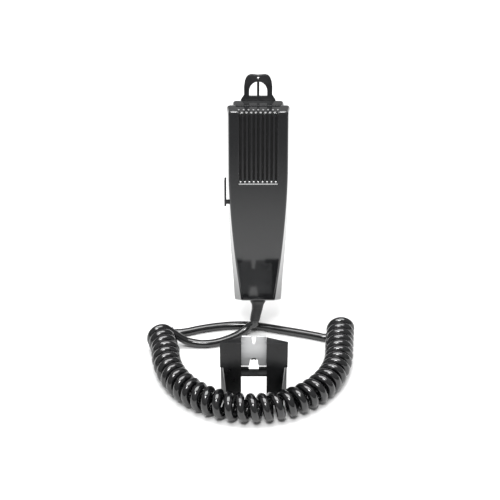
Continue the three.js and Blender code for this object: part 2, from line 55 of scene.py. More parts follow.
# The microphone's own frame: x across, y back from the front face, z up from the bottom end.
LEAN = math.radians(14)
FOOT = Vector((0, 0.9, 41.4))  # the case's front bottom edge, above the table
GRIP = Vector((0, 12, 62))  # the middle of the grip, which is the origin
BODY_H = 173
HEAD_D, FOOT_D = 33, 22  # front to back at the head and at the bottom
GRIP_SWELL, SWELL_TOP = 3, 55  # the grip is this much deeper from this height upwards
HEAD_RISE = (70, 114)  # the back steps out to the head between these heights
SPLIT = 18  # depth of the parting plane
REAR_STEP = 4.9  # the rear shell is this much narrower on each side
FACE_HALF, FACE_TAPER = 25.2, 10.8  # half the front face's width, and how much it loses below
WIDE_HALF, WIDE_TAPER = 27, 6.4  # the same at the parting plane
TAPER_H, TAPER_POWER = 120, 1.7
WALL, FRONT_WALL = 2.4, 3.2
BOTTOM_SLANT, SLANT_TOP = 0.38, 18  # the bottom face drops towards the back, up to this height
SEAM_HALF = 0.15  # half the joint line between the two shells
RIM_ROUND = 0.45  # rounding of the front shell's rim at that line
TOP_ROUND, BOTTOM_ROUND, FRONT_ROUND, BACK_ROUND = 3.0, 1.2, 1.3, 2.6
CREST_ROUND = 2.2  # rounding of the front face's top edge
KEEP_HALF = 18.6  # the middle of the face keeps its true width where the outline rounds
CASE_SCREWS = [(-17, 160), (17, 160), (-11.5, 17), (11.5, 17)]
CASE_SEAT_R, CASE_SEAT_DEPTH = 3, 2.4  # the seats of their heads

# Grille: grooves that run down the front of the head and over its top edge.
SLOT_COUNT, SLOT_PITCH, SLOT_DEPTH = 9, 4, 2.3
SLOT_FLOOR_HALF, SLOT_RIM_HALF = 0.72, 1.06  # half a groove's width at its floor and at its rim
SLOT_TOP_DEPTH, SLOT_TOP_END = 1.9, 9  # the grooves' depth over the top, and how far back they run
RECESS_HALF, RECESS_DEPTH, GRILLE_LOW = 17.8, 0.8, 108
LEDGE_HALF = 0.4  # half the height of the recess's sloping lower edge
SLOT_START, SLOT_RUN_IN = 0.7, 0.9  # above GRILLE_LOW the grooves begin here and deepen over this

# Talk bar on the left side. Its foot passes through the case's wall to an arm inside.
BAR_X, BAR_Y, BAR_Z = (-29.1, -27.3), (2.6, 9.8), (87.2, 110.9)
BAR_FOOT_Y, BAR_FOOT_HALF = (5.2, 9.4), 1.3
ARM_X, ARM_Y, ARM_TOP = (-19.6, -18.3), (5.6, 9), 103
PIVOT_X, PIVOT_Z = -21.8, 89.6
PIN_R, PIN_Y = 0.7, (3.6, 11.4)
EAR_X, EAR_Y, EAR_HALF = (-23, -19.9), ((3, 4.8), (9.8, 11.6)), 2.2  # two ears hold the pin
FOOT_SLOT_X, FOOT_SLOT_HALF = (-30, -18.8), 2  # the foot's slot lies between them

# Hang loop above the head, and the stud on the back.
LOOP_Y = (33.6, 36.4)
LOOP_SCREW_X, LOOP_SCREW_Z = 10, 162
LOOP_SEAT_Y = 35.1
WINDOW_HALF, WINDOW_LOW = 7.7, 176.2
ARCH_START, ARCH_RISE = 180.4, 8.5  # the window's arch begins at this height and rises this far
POST_HALF = 1.05
STUD_Y, STUD_Z = 33.3, 128

# Cord, in the table's frame, with the table at z = 0.
CORD_D, COIL_D = 7, 25
COIL_CENTRE, COIL_R = (-5, -33), 75.5
COIL_LEFT, COIL_RIGHT = (-86.3, -8.2), (73.5, 4.7)
TURNS, TURN_STEPS = 33, 36
COIL_SWELL = 1.08  # the coiled stretch is a little thicker than the ends
PITCH_SWING = 0.12  # the turns lie this share further apart at the front of the U
BOOT_LEN, BOOT_BEND, BOOT_Y = 24, -2.8, 11
LEAD_POINTS = [
    (-7, 5.9, 9.6), (-11.4, 3.6, 6.3), (-16.6, 0.4, 4.4), (-24.8, -4.6, 3.5), (-34.5, -9.7, 3.5),
    (-42.5, -12, 3.5), (-51.3, -12.6, 3.8), (-60.2, -12, 5.3), (-66, -11.8, 7.9),
]
TAIL_POINTS = [
    (61.2, -3.5, 3.5), (55, -2.2, 3.5), (45, 0.9, 3.5), (35, 3.7, 3.5), (21, 7.4, 3.5),
    (7.8, 10.9, 3.5), (-2.5, 13.2, 3.5), (-12.7, 14.3, 3.5), (-26, 13.7, 3.5), (-40.2, 11.4, 3.5),
    (-52.7, 8.2, 3.5), (-62, 5, 3.5), (-69, 3.4, 3.5), (-75.2, 3.1, 3.5),
]

# Modular plug: x from where the cord enters it, z up from the table.
PLUG_AT, PLUG_TURN = (-75.5, 3.1), math.pi
PLUG_LEN, PLUG_W, PLUG_H = 15, 9.7, 6.6
CONTACTS, CONTACT_PITCH = 6, 1.02

# Holder, in its own frame: x from its middle, y back from its front, z up from the table.
HOLDER_AT = (-3.8, -89.3)
HOLDER_H, STEP_Z = 65.8, 39.6  # the blocks end and the legs begin at the step
SHELF_Z = (29.6, 31.6)
MOUTH_HALF, BLOCK_HALF, LEG_D = 10.5, 28.2, 8.4
LEG_BACK, LEG_FRONT = 27.7, (22.3, 25.6)  # a leg's outer edge behind, and in front at its two ends
PLATE_Y, PLATE_Z, PLATE_HALF = (8.8, 10.3), (34.6, 66), 17
TONGUE_HALF, SHOULDER_Z = 10.2, 62.6  # only the plate's middle reaches its full height
NOTCH_R, BUMPER_R, BUMPER_Z = 3.2, (1.9, 2.9), 39.8  # the lower notch's arch, and the bumper in it
RIVETS = [(x, z) for x in (-14, 14) for z in (43, 59)]
RIVET_SEAT_DEPTH = 0.9

# The microphone's frame and the table's frame, both in millimetres, to the row frame in metres.
mic_to_table = Matrix.Translation(FOOT) @ Matrix.Rotation(-LEAN, 4, "X")
origin = mic_to_table @ GRIP
TABLE = Matrix.Scale(MM, 4) @ Matrix.Translation(-origin)
MIC = TABLE @ mic_to_table
HOLDER = TABLE @ Matrix.Translation((*HOLDER_AT, 0))
PLUG = TABLE @ Matrix.Translation((*PLUG_AT, 0)) @ Matrix.Rotation(PLUG_TURN, 4, "Z")


# ---- camera, light and floor, in metres --------------------------------------------------------

CAMERA_AIM = TABLE @ Vector((-7, 5, 93))
CAMERA_REACH = 1.4
CAMERA_RISE = math.radians(35.6)
LENS, SENSOR = 117, 36
FLOOR_HALF = 6
FLOOR_DROP = 0.0001  # keeps the floor just under what stands on it


def make_camera():
    data = bpy.data.cameras.new("camera")
    data.sensor_width = SENSOR
    data.lens = LENS
    data.clip_end = 20
    camera = bpy.data.objects.new("camera", data)
    back = Vector((0, -math.cos(CAMERA_RISE), math.sin(CAMERA_RISE)))
    camera.location = CAMERA_AIM + back * CAMERA_REACH
    camera.rotation_mode = "QUATERNION"
    camera.rotation_quaternion = (-back).to_track_quat("-Z", "Y")
    bpy.context.scene.collection.objects.link(camera)
    bpy.context.scene.camera = camera


def area_light(name, place, aim, size, power):
    data = bpy.data.lights.new(name, "AREA")
    data.shape = "RECTANGLE"
    data.size, data.size_y = size
    data.energy = power
    light = bpy.data.objects.new(name, data)
    light.location = place
    light.rotation_mode = "QUATERNION"
    light.rotation_quaternion = (Vector(aim) - Vector(place)).to_track_quat("-Z", "Y")
    bpy.context.scene.collection.objects.link(light)


def fill(node, values):
    """Sets a node's inputs by their names."""
    for name, value in values.items():
        node.inputs[name].default_value = value


def make_world():
    """A studio that is dim near the horizon and brighter above it."""
    world = bpy.data.worlds.new("studio")
    world.use_nodes = True
    nodes, links = world.node_tree.nodes, world.node_tree.links
    direction = nodes.new("ShaderNodeTexCoord")
    split = nodes.new("ShaderNodeSeparateXYZ")
    glow = nodes.new("ShaderNodeMapRange")
    fill(glow, {"From Min": 0.15, "From Max": 0.4, "To Min": 0.32, "To Max": 0.42})
    links.new(direction.outputs["Generated"], split.inputs["Vector"])
    links.new(split.outputs["Z"], glow.inputs["Value"])
    links.new(glow.outputs["Result"], nodes["Background"].inputs["Strength"])
    fill(nodes["Background"], {"Color": (1, 1, 1, 1)})
    bpy.context.scene.world = world
    bpy.context.scene.view_settings.view_transform = "Standard"


def make_stage():
    make_world()
    level = (TABLE @ Vector((0, 0, 0))).z - FLOOR_DROP
    corners = [(-1, -1), (1, -1), (1, 1), (-1, 1)]
    floor = bpy.data.meshes.new("floor")
    floor.from_pydata([(FLOOR_HALF * x, FLOOR_HALF * y, level) for x, y in corners], [], [(0, 1, 2, 3)])
    floor.materials.append(pale_paper())
    stage = bpy.data.objects.new("floor", floor)
    bpy.context.scene.collection.objects.link(stage)

    area_light("overhead", place=(0, 0.05, 1.3), aim=(0, -0.05, 0), size=(1.5, 0.9), power=36)
    area_light("front", place=(-0.1, -0.85, 1.3), aim=(0, -0.2, 0), size=(0.5, 0.35), power=17)


# ---- materials ---------------------------------------------------------------------------------

class Look:
    """A Principled material whose colour, roughness and bump are worked out by nodes."""

    def __init__(self, name, metallic=0.0, ior=1.5):
        self.material = bpy.data.materials.new(name)
        self.material.use_nodes = True
        self.nodes = self.material.node_tree.nodes
        self.links = self.material.node_tree.links
        self.shader = self.nodes["Principled BSDF"]
        fill(self.shader, {"Metallic": metallic, "IOR": ior})
        self.place = self.nodes.new("ShaderNodeTexCoord").outputs["Object"]

    def mapped(self, scale, turn=(0, 0, 0)):
        """The place stretched and turned, for a grain that runs one way."""
        node = self.nodes.new("ShaderNodeMapping")
        fill(node, {"Scale": scale, "Rotation": turn})
        self.links.new(self.place, node.inputs["Vector"])
        return node.outputs["Vector"]

    def noise(self, scale, detail=4, rough=0.55, place=None):
        node = self.nodes.new("ShaderNodeTexNoise")
        fill(node, {"Scale": scale, "Detail": detail, "Roughness": rough})
        self.links.new(place or self.place, node.inputs["Vector"])
        return node.outputs["Fac"]

    def ramp(self, source, low, high, first, last):
        """The source's range from low to high, mapped to the range from first to last."""
        node = self.nodes.new("ShaderNodeMapRange")
        fill(node, {"From Min": low, "From Max": high, "To Min": first, "To Max": last})
        self.links.new(source, node.inputs["Value"])
        return node.outputs["Result"]

    def maths(self, operation, a, b):
        node = self.nodes.new("ShaderNodeMath")
        node.operation = operation
        self.links.new(a, node.inputs[0])
        self.links.new(b, node.inputs[1])
        return node.outputs["Value"]

    def colour(self, source, first, last):
        node = self.nodes.new("ShaderNodeMix")
        node.data_type = "RGBA"
        fill(node, {"A": (*first, 1), "B": (*last, 1)})
        self.links.new(source, node.inputs["Factor"])
        self.links.new(node.outputs["Result"], self.shader.inputs["Base Color"])

    def roughness(self, source):
        self.links.new(source, self.shader.inputs["Roughness"])

    def bump(self, source, distance_mm, strength):
        node = self.nodes.new("ShaderNodeBump")
        fill(node, {"Strength": strength, "Distance": distance_mm * MM})
        self.links.new(source, node.inputs["Height"])
        self.links.new(node.outputs["Normal"], self.shader.inputs["Normal"])


def pale_paper():
    """White paper with painted shade: it darkens far from the object, in place of the lamps' light
    falling off, where only reflections show it.
    """
    look = Look("pale_paper", ior=1.3)
    reach = look.nodes.new("ShaderNodeVectorMath")
    reach.operation = "LENGTH"
    look.links.new(look.place, reach.inputs[0])
    # painted shade: the paper's colour drops from 0.7 to 0.5 with distance from the object, standing in
    # for the light falling off far from the lamps
    painted_falloff = look.ramp(reach.outputs["Value"], 1.2, 2.8, 0, 1)
    look.colour(painted_falloff, (0.7, 0.7, 0.7), (0.5, 0.5, 0.5))
    fill(look.shader, {"Roughness": 0.9})
    return look.material


def satin_block():
    """The holder's plastic: duller than the case."""
    look = Look("satin_block", ior=1.36)
    haze = look.noise(60)
    look.colour(look.ramp(haze, 0.4, 0.8, 0, 1), (0.004, 0.0042, 0.0046), (0.01, 0.01, 0.011))
    look.roughness(look.ramp(haze, 0.3, 0.7, 0.26, 0.36))
    look.bump(look.noise(1500, 3, 0.5), 0.012, 0.6)
    return look.material


def glossy_case():
    """Glossy moulded ABS: faint flow unevenness, fine scuffs and a little dust."""
    look = Look("glossy_case", ior=1.62)
    specks = look.ramp(look.noise(900, 6, 0.7), 0.62, 0.8, 0, 1)
    haze = look.noise(35, 3)
    dust = look.maths("MULTIPLY", specks, look.ramp(haze, 0.4, 0.7, 0, 0.5))
    look.colour(dust, (0.009, 0.0093, 0.01), (0.045, 0.045, 0.045))
    scuffs = look.noise(60, 5, 0.6, look.mapped((1, 1, 14), (0.24, 0, 0)))
    polish = look.ramp(haze, 0.3, 0.7, 0.06, 0.1)
    look.roughness(look.maths("ADD", polish, look.ramp(scuffs, 0.55, 0.75, 0, 0.06)))
    look.bump(look.noise(420, 2, 0.4), 0.01, 0.5)
    return look.material


def satin_lever():
    """Satin nylon, worn a little paler in patches."""
    look = Look("satin_lever")
    wear = look.noise(120)
    look.colour(look.ramp(wear, 0.45, 0.75, 0, 1), (0.006, 0.0062, 0.007), (0.014, 0.014, 0.015))
    look.roughness(look.ramp(wear, 0.3, 0.7, 0.3, 0.42))
    look.bump(look.noise(2600, 3, 0.6), 0.02, 0.6)
    return look.material


def cord_jacket():
    """Glossy polyurethane jacket with a fine grain and faint scuffs."""
    look = Look("cord_jacket", ior=1.62)
    scuff = look.noise(160, 5, 0.6)
    look.colour(look.ramp(scuff, 0.5, 0.8, 0, 1), (0.004, 0.0042, 0.0046), (0.011, 0.011, 0.012))
    look.roughness(look.ramp(scuff, 0.3, 0.75, 0.12, 0.2))
    look.bump(look.noise(1500, 3, 0.5), 0.006, 0.5)
    return look.material


def soft_rubber():
    """Matt rubber with a pale bloom."""
    look = Look("soft_rubber")
    bloom = look.noise(90)
    look.colour(look.ramp(bloom, 0.45, 0.75, 0, 1), (0.009, 0.009, 0.0095), (0.022, 0.022, 0.022))
    look.roughness(look.ramp(bloom, 0.3, 0.7, 0.42, 0.6))
    look.bump(look.noise(1800, 4, 0.65), 0.03, 0.7)
    return look.material


def brushed_steel():
    """Sheet steel brushed across, a little uneven, with faint scratches."""
    look = Look("brushed_steel", metallic=1.0)
    brush = look.noise(900, 4, 0.7, look.mapped((0.04, 1, 1)))
    cloud = look.noise(45, 3)
    tone = look.maths("MULTIPLY", brush, look.ramp(cloud, 0.3, 0.7, 0.6, 1.2))
    look.colour(tone, (0.5, 0.505, 0.51), (0.66, 0.665, 0.67))
    look.roughness(look.ramp(brush, 0.3, 0.7, 0.46, 0.6))
    look.bump(brush, 0.012, 0.6)
    return look.material


def dark_steel():
    """Blackened steel, worn brighter in spots."""
    look = Look("dark_steel", metallic=1.0)
    worn = look.noise(500, 4, 0.6)
    look.colour(look.ramp(worn, 0.5, 0.75, 0, 1), (0.05, 0.05, 0.055), (0.2, 0.2, 0.21))
    look.roughness(look.ramp(worn, 0.3, 0.7, 0.32, 0.5))
    look.bump(look.noise(2500, 3), 0.008, 0.6)
    return look.material


def turned_alloy():
    """Alloy with the fine rings that a lathe leaves."""
    look = Look("turned_alloy", metallic=1.0)
    rings = look.noise(1600, 3, 0.6, look.mapped((1, 0.15, 1), (-LEAN, 0, 0)))
    look.colour(rings, (0.5, 0.505, 0.51), (0.72, 0.725, 0.73))
    look.roughness(look.ramp(rings, 0.3, 0.7, 0.22, 0.36))
    look.bump(rings, 0.006, 0.6)
    return look.material


def gold_flash():
    """Thin gold plating on the plug's contacts."""
    look = Look("gold_flash", metallic=1.0)
    wear = look.noise(1800, 3)
    look.colour(wear, (0.7, 0.48, 0.16), (0.86, 0.64, 0.26))
    look.roughness(look.ramp(wear, 0.3, 0.7, 0.18, 0.32))
    return look.material


def woven_cloth():
    """Fine black cloth: two crossed sets of threads."""
    look = Look("woven_cloth", ior=1.4)
    lay = look.mapped((1, 1, 1), (-LEAN, 0, 0))
    threads = []
    for direction in ("X", "Z"):
        wave = look.nodes.new("ShaderNodeTexWave")
        wave.bands_direction = direction
        fill(wave, {"Scale": 420, "Distortion": 0.6})
        look.links.new(lay, wave.inputs["Vector"])
        threads.append(wave.outputs["Fac"])
    weave = look.maths("MULTIPLY", *threads)
    look.colour(weave, (0.0015, 0.0015, 0.0015), (0.007, 0.007, 0.007))
    look.roughness(look.ramp(weave, 0, 1, 0.8, 0.95))
    look.bump(weave, 0.08, 0.8)
    return look.material


def open_foam():
    """Grey open-cell foam."""
    look = Look("open_foam", ior=1.3)
    cells = look.nodes.new("ShaderNodeTexVoronoi")
    fill(cells, {"Scale": 1100})
    look.links.new(look.place, cells.inputs["Vector"])
    pores = cells.outputs["Distance"]
    look.colour(pores, (0.015, 0.015, 0.016), (0.075, 0.075, 0.078))
    look.roughness(look.ramp(pores, 0, 1, 0.85, 1.0))
    look.bump(pores, 0.4, 0.8)
    return look.material


def solder_mask():
    """Green circuit board with raised tracks."""
    look = Look("solder_mask")
    tracks = look.nodes.new("ShaderNodeTexBrick")
    fill(tracks, {"Scale": 260, "Mortar Size": 0.12})
    look.links.new(look.place, tracks.inputs["Vector"])
    look.colour(tracks.outputs["Fac"], (0.012, 0.09, 0.035), (0.03, 0.2, 0.08))
    look.roughness(look.ramp(look.noise(300), 0.3, 0.7, 0.3, 0.45))
    look.bump(tracks.outputs["Fac"], 0.03, 0.5)
    return look.material


def dark_phenolic():
    """The microswitch's moulded body."""
    look = Look("dark_phenolic")
    grain = look.noise(1400)
    look.colour(grain, (0.03, 0.032, 0.036), (0.07, 0.074, 0.08))
    look.roughness(look.ramp(grain, 0.3, 0.7, 0.4, 0.55))
    look.bump(grain, 0.02, 0.5)
    return look.material


def clear_plastic():
    """The plug's clear polycarbonate."""
    look = Look("clear_plastic", ior=1.58)
    haze = look.noise(200, 3)
    look.colour(haze, (0.75, 0.79, 0.82), (0.88, 0.9, 0.92))
    fill(look.shader, {"Transmission Weight": 0.85})
    look.roughness(look.ramp(haze, 0.3, 0.7, 0.06, 0.16))
    look.bump(look.noise(700, 2), 0.01, 0.5)
    return look.material



# ---- mesh helpers ------------------------------------------------------------------------------

def piece(name, data, material, *nodes, smooth_angle=35):
    """Makes a mesh or a curve a finished piece, which stands for CAD nodes and rides as they do."""
    obj = bpy.data.objects.new(name, data)
    bpy.context.scene.collection.objects.link(obj)
    if not data.materials:
        data.materials.append(material)
    if obj.type == "MESH":
        data.shade_smooth()
        data.set_sharp_from_angle(angle=math.radians(smooth_angle))
    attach(obj, BODY_OF[nodes[0]])
    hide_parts(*nodes)
    return obj


def mend(mesh, merge=0.0):
    """Joins points that are closer than merge, in metres, and turns every face outwards."""
    bm = bmesh.new()
    bm.from_mesh(mesh)
    if merge:
        bmesh.ops.remove_doubles(bm, verts=bm.verts, dist=merge)
    bmesh.ops.recalc_face_normals(bm, faces=bm.faces)
    bm.to_mesh(mesh)
    bm.free()


def mesh_of(name, points, faces, matrix):
    mesh = bpy.data.meshes.new(name)
    mesh.from_pydata([tuple(matrix @ Vector(p)) for p in points], [], faces)
    mesh.validate()
    mend(mesh)
    return mesh


def applied(obj):
    """The object with its modifiers applied, as a new mesh."""
    graph = bpy.context.evaluated_depsgraph_get()
    mesh = bpy.data.meshes.new_from_object(obj.evaluated_get(graph))
    bpy.data.objects.remove(obj)
    return mesh


def helper_object(data):
    obj = bpy.data.objects.new("helper", data)
    bpy.context.scene.collection.objects.link(obj)
    return obj


def boolean(mesh, others, operation):
    """mesh joined with, or cut by, each of the other closed meshes."""
    obj = helper_object(mesh)
    tools = [helper_object(other) for other in others]
    for tool in tools:
        modifier = obj.modifiers.new("boolean", "BOOLEAN")
        modifier.operation = operation
        modifier.solver = "EXACT"
        modifier.object = tool
    made = applied(obj)
    for tool in tools:
        bpy.data.objects.remove(tool)
    return made


def bevelled(mesh, width_mm, segments=3, angle=30):
    obj = helper_object(mesh)
    modifier = obj.modifiers.new("bevel", "BEVEL")
    modifier.width = width_mm * MM
    modifier.segments = segments
    modifier.limit_method = "ANGLE"
    modifier.angle_limit = math.radians(angle)
    return applied(obj)


def box(x, y, z, matrix):
    points = [(x[i], y[j], z[k]) for i in (0, 1) for j in (0, 1) for k in (0, 1)]
    faces = [(0, 1, 3, 2), (4, 6, 7, 5), (0, 4, 5, 1), (2, 3, 7, 6), (0, 2, 6, 4), (1, 5, 7, 3)]
    return mesh_of("box", points, faces, matrix)


def stacked(name, rings, matrix):
    """A closed solid through rings of points, all with the same number of points."""
    n = len(rings[0])
    points = [point for ring in rings for point in ring]
    last = len(points) - n
    faces = [tuple(range(n)), tuple(range(last + n - 1, last - 1, -1))]
    for start in range(0, last, n):
        for i in range(n):
            j = (i + 1) % n
            faces.append((start + i, start + j, start + n + j, start + n + i))
    return mesh_of(name, points, faces, matrix)


def prism(outline, low, high, matrix, axis="z"):
    """A flat outline, given in the other two coordinates, raised along an axis."""
    at = "xyz".index(axis)
    rings = [[(*point[:at], level, *point[at:]) for point in outline] for level in (low, high)]
    return stacked("prism", rings, matrix)


def lathe(profile, matrix, sides=48):
    """A profile of (radius, height) turned about z. Its two ends lie on the axis."""
    points, rings = [], []
    for r, z in profile:
        count = sides if r else 1
        rings.append(range(len(points), len(points) + count))
        for i in range(count):
            a = 2 * math.pi * i / sides
            points.append((r * math.cos(a), r * math.sin(a), z))
    faces = []
    for a, b in zip(rings, rings[1:]):
        for i in range(sides):
            j = (i + 1) % sides
            quad = [a[i % len(a)], a[j % len(a)], b[j % len(b)], b[i % len(b)]]
            faces.append(tuple(dict.fromkeys(quad)))
    return mesh_of("lathe", points, faces, matrix)


def drum(radius, low, high, matrix, sides=24):
    """A plain cylinder along z, for bores and seats."""
    return lathe([(0, low), (radius, low), (radius, high), (0, high)], matrix, sides)


def along_y(x, y, z):
    """A matrix that stands a turned part at a place with its axis along +y."""
    return Matrix.Translation((x, y, z)) @ Matrix.Rotation(-math.pi / 2, 4, "X")


def mirrored(half):
    """Places on the right and their mirror images, as one row from left to right."""
    return sorted({-x for x in half} | set(half))


def circle(x, z, r, sides=24):
    turn = [2 * math.pi * i / sides for i in range(sides)]
    return [(x + r * math.cos(a), z + r * math.sin(a)) for a in turn]


def rounded(points, radius, steps=5):
    """The outline with each corner rounded, as far as its sides allow."""
    made = []
    for i, corner in enumerate(points):
        before, after = Vector(points[i - 1]), Vector(points[(i + 1) % len(points)])
        corner = Vector(corner)
        a, b = before - corner, after - corner
        half = a.angle(b) / 2
        reach = min(radius / math.tan(half), a.length * 0.45, b.length * 0.45)
        start, end = corner + a.normalized() * reach, corner + b.normalized() * reach
        for k in range(steps + 1):
            t = k / steps
            made.append(tuple(start.lerp(corner, t).lerp(corner.lerp(end, t), t)))
    return made


def sheet_plate(outlines, depths, bevel, matrix):
    """A flat plate with holes, standing in x and z, between two depths, with its rims bevelled."""
    low, high = depths
    data = bpy.data.curves.new("plate", "CURVE")
    data.dimensions = "2D"
    data.fill_mode = "BOTH"
    data.extrude = (high - low) / 2 - bevel
    data.bevel_depth = bevel
    data.bevel_resolution = 2
    data.offset = -bevel
    for outline in outlines:
        spline = data.splines.new("POLY")
        spline.points.add(len(outline) - 1)
        for point, (x, z) in zip(spline.points, outline):
            point.co = (x, z, 0, 1)
        spline.use_cyclic_u = True
    mesh = applied(helper_object(data))
    stand = Matrix.Translation((0, (low + high) / 2, 0)) @ Matrix.Rotation(math.pi / 2, 4, "X")
    mesh.transform(matrix @ stand)
    mend(mesh, merge=1e-6)
    return mesh


def cross_screw(matrix, head_r, head_h, shank_r, shank_len):
    """A pan-head screw with a cross recess. Its head's underside is at z = 0."""
    head = [
        (0, head_h),
        (head_r * 0.45, head_h * 0.98),
        (head_r * 0.8, head_h * 0.78),
        (head_r * 0.97, head_h * 0.4),
        (head_r, head_h * 0.12),
        (head_r * 0.96, 0),
    ]
    thread = []
    pitch = shank_r * 0.55
    z = 0.0
    while z > -shank_len + pitch * 2:
        thread += [(shank_r, z - pitch * 0.25), (shank_r * 0.82, z - pitch * 0.75)]
        z -= pitch
    tip = [(shank_r * 0.8, -shank_len + pitch), (shank_r * 0.3, -shank_len), (0, -shank_len)]
    body = lathe(head + [(shank_r, 0)] + thread + tip, matrix, 32)
    arm, half = head_r * 0.62, head_r * 0.1
    deep = (head_h * 0.35, head_h + 1)
    cross = [box((-arm, arm), (-half, half), deep, matrix), box((-half, half), (-arm, arm), deep, matrix)]
    return boolean(body, cross, "DIFFERENCE")


# ---- the case ----------------------------------------------------------------------------------

def clamp(x):
    return min(1, max(0, x))


def smoothstep(low, high, x):
    t = clamp((x - low) / (high - low))
    return t * t * (3 - 2 * t)


def back_at(z):
    """The case's depth at a height."""
    swell = GRIP_SWELL * smoothstep(0, SWELL_TOP, z)
    return FOOT_D + swell + (HEAD_D - FOOT_D - GRIP_SWELL) * smoothstep(*HEAD_RISE, z)


def half_width(z, depth):
    """Half the outline's width at a height and depth, before its ends are rounded."""
    taper = max(0, 1 - z / TAPER_H) ** TAPER_POWER
    face = FACE_HALF - FACE_TAPER * taper
    wide = WIDE_HALF - WIDE_TAPER * taper
    return face + (wide - face) * min(1, depth / SPLIT)


def drawn_in(radius, distance):
    """How far a round edge of this radius has drawn in, this far from its start."""
    left = max(0, radius - max(0, distance))
    return radius - math.sqrt(max(0, radius * radius - left * left))


def spread(low, high, count):
    return [low + (high - low) * i / count for i in range(count)]


def slot_centre(i):
    return (i - (SLOT_COUNT - 1) / 2) * SLOT_PITCH


def case_point(x, share, depth, skin, rear):
    """A point of the case. x is across at the head, and share goes from 0 at the bottom to 1 at
    the top. depth is in millimetres in front, and a share of the rear shell's depth behind.
    skin is 0 outside, or the wall's thickness inside."""
    front_skin = FRONT_WALL if skin else 0
    deep = back_at(share * BODY_H) - skin if rear else depth
    y = SPLIT + SEAM_HALF + (deep - SPLIT - SEAM_HALF) * depth if rear else depth
    inset = drawn_in(BACK_ROUND, deep - y) if rear else drawn_in(FRONT_ROUND, y - front_skin)
    crest = inset if rear else drawn_in(CREST_ROUND, y - front_skin)
    low, high = inset + skin, BODY_H - crest - skin
    z = low + (high - low) * share
    step = REAR_STEP if rear else REAR_STEP * (y / SPLIT if skin else 0)
    full = half_width(z, y) - step - skin - inset
    end_round, end = (BOTTOM_ROUND, z - low) if share < 0.5 else (TOP_ROUND, high - z)
    outer = full - drawn_in(end_round - min(inset, end_round - 0.3), end)
    keep = KEEP_HALF * full / FACE_HALF
    across = abs(x) * full / FACE_HALF
    if across > keep:
        across = keep + (across - keep) * (outer - keep) / (full - keep)
    lower = BOTTOM_SLANT * y * (1 - smoothstep(WALL, SLANT_TOP, z))
    return Vector((math.copysign(across, x), y, z - lower))


def grille_shift(x, z, depth):
    """How far the grille presses a point of the front or of the top inwards."""
    band = 1 - smoothstep(RECESS_HALF - 0.15, RECESS_HALF + 0.15, abs(x))
    rise = clamp((z - GRILLE_LOW + LEDGE_HALF) / (2 * LEDGE_HALF))
    nearest = min(abs(x - slot_centre(i)) for i in range(SLOT_COUNT))
    groove = 1 - smoothstep(SLOT_FLOOR_HALF, SLOT_RIM_HALF, nearest)
    start = clamp((z - GRILLE_LOW - SLOT_START) / SLOT_RUN_IN)
    stop = 1 - smoothstep(SLOT_TOP_END - 1.2, SLOT_TOP_END, depth)
    front = (RECESS_DEPTH * rise + (SLOT_DEPTH - RECESS_DEPTH) * groove * start * stop) * band
    top = (RECESS_DEPTH + (SLOT_TOP_DEPTH - RECESS_DEPTH) * groove * stop) * band
    on_front = 1 - smoothstep(FRONT_ROUND, 8, depth)
    on_top = smoothstep(BODY_H - 12, BODY_H - FRONT_ROUND, z)
    return Vector((0, front * on_front, -top * on_top))


def grid_mesh(xs, shares, depths, place):
    """The outer faces of a box lattice, open at the last depth: its points, faces and open rim.
    place maps a lattice point, which is (x, share, depth), to a point of the surface."""
    nx, nz, nd = len(xs), len(shares), len(depths)
    index, points = {}, []

    def at(i, k, j):
        if (i, k, j) not in index:
            index[i, k, j] = len(points)
            points.append(place(xs[i], shares[k], depths[j]))
        return index[i, k, j]

    faces = [
        (at(i, k, 0), at(i + 1, k, 0), at(i + 1, k + 1, 0), at(i, k + 1, 0))
        for i in range(nx - 1)
        for k in range(nz - 1)
    ]
    for j in range(nd - 1):
        for i in (0, nx - 1):
            for k in range(nz - 1):
                faces.append((at(i, k, j), at(i, k + 1, j), at(i, k + 1, j + 1), at(i, k, j + 1)))
        for k in (0, nz - 1):
            for i in range(nx - 1):
                faces.append((at(i, k, j), at(i + 1, k, j), at(i + 1, k, j + 1), at(i, k, j + 1)))
    last = nd - 1
    rim = [at(i, 0, last) for i in range(nx)]
    rim += [at(nx - 1, k, last) for k in range(1, nz)]
    rim += [at(i, nz - 1, last) for i in range(nx - 2, -1, -1)]
    rim += [at(0, k, last) for k in range(nz - 2, 0, -1)]
    return points, faces, rim


def hollow(outer, inner):
    """Two open grids joined along their rims into one closed shell."""
    points = outer[0] + inner[0]
    shift = len(outer[0])
    faces = outer[1] + [tuple(shift + v for v in face) for face in inner[1]]
    a, b = outer[2], [shift + v for v in inner[2]]
    faces += [(a[i - 1], a[i], b[i], b[i - 1]) for i in range(len(a))]
    return points, faces


def front_columns():
    """Places across the front that follow the grooves' edges, from left to right."""
    from_centre = mirrored([0, 0.35, 0.68, 0.8, 0.92, 1.04, 1.2, 1.55, SLOT_PITCH / 2])
    near_slots = {round(slot_centre(i) + d, 3) for i in range(SLOT_COUNT) for d in from_centre}
    inner = [x for x in near_slots if abs(x) < RECESS_HALF - 0.4]
    edge = [RECESS_HALF + d for d in (-0.25, -0.1, 0.1, 0.3)]
    outer = [19.2, 20.6, 22, 23.2, 24.2, 24.8, FACE_HALF]
    return mirrored(inner + edge + outer)


def front_rows():
    """Heights of the front's rows, closest at the two ends and at the grille's lower edge."""
    below = [0, 0.25, 0.6, 1.1, 1.8, 2.6, 3.5, 5, 8, 12]
    ledge = [-5, -3, -1.4, -0.5, -0.38, 0, 0.38, 0.5, 0.7, 1, 1.3, 1.6, 2, 4]
    above = [10, 7.5, 6, 4.7, 3.5, 2.5, 1.7, 1, 0.5, 0.2, 0]
    zs = below + spread(17, GRILLE_LOW - 5, 22) + [GRILLE_LOW + d for d in ledge]
    zs += spread(GRILLE_LOW + 7, BODY_H - 10, 14) + [BODY_H - d for d in above]
    return [z / BODY_H for z in zs]


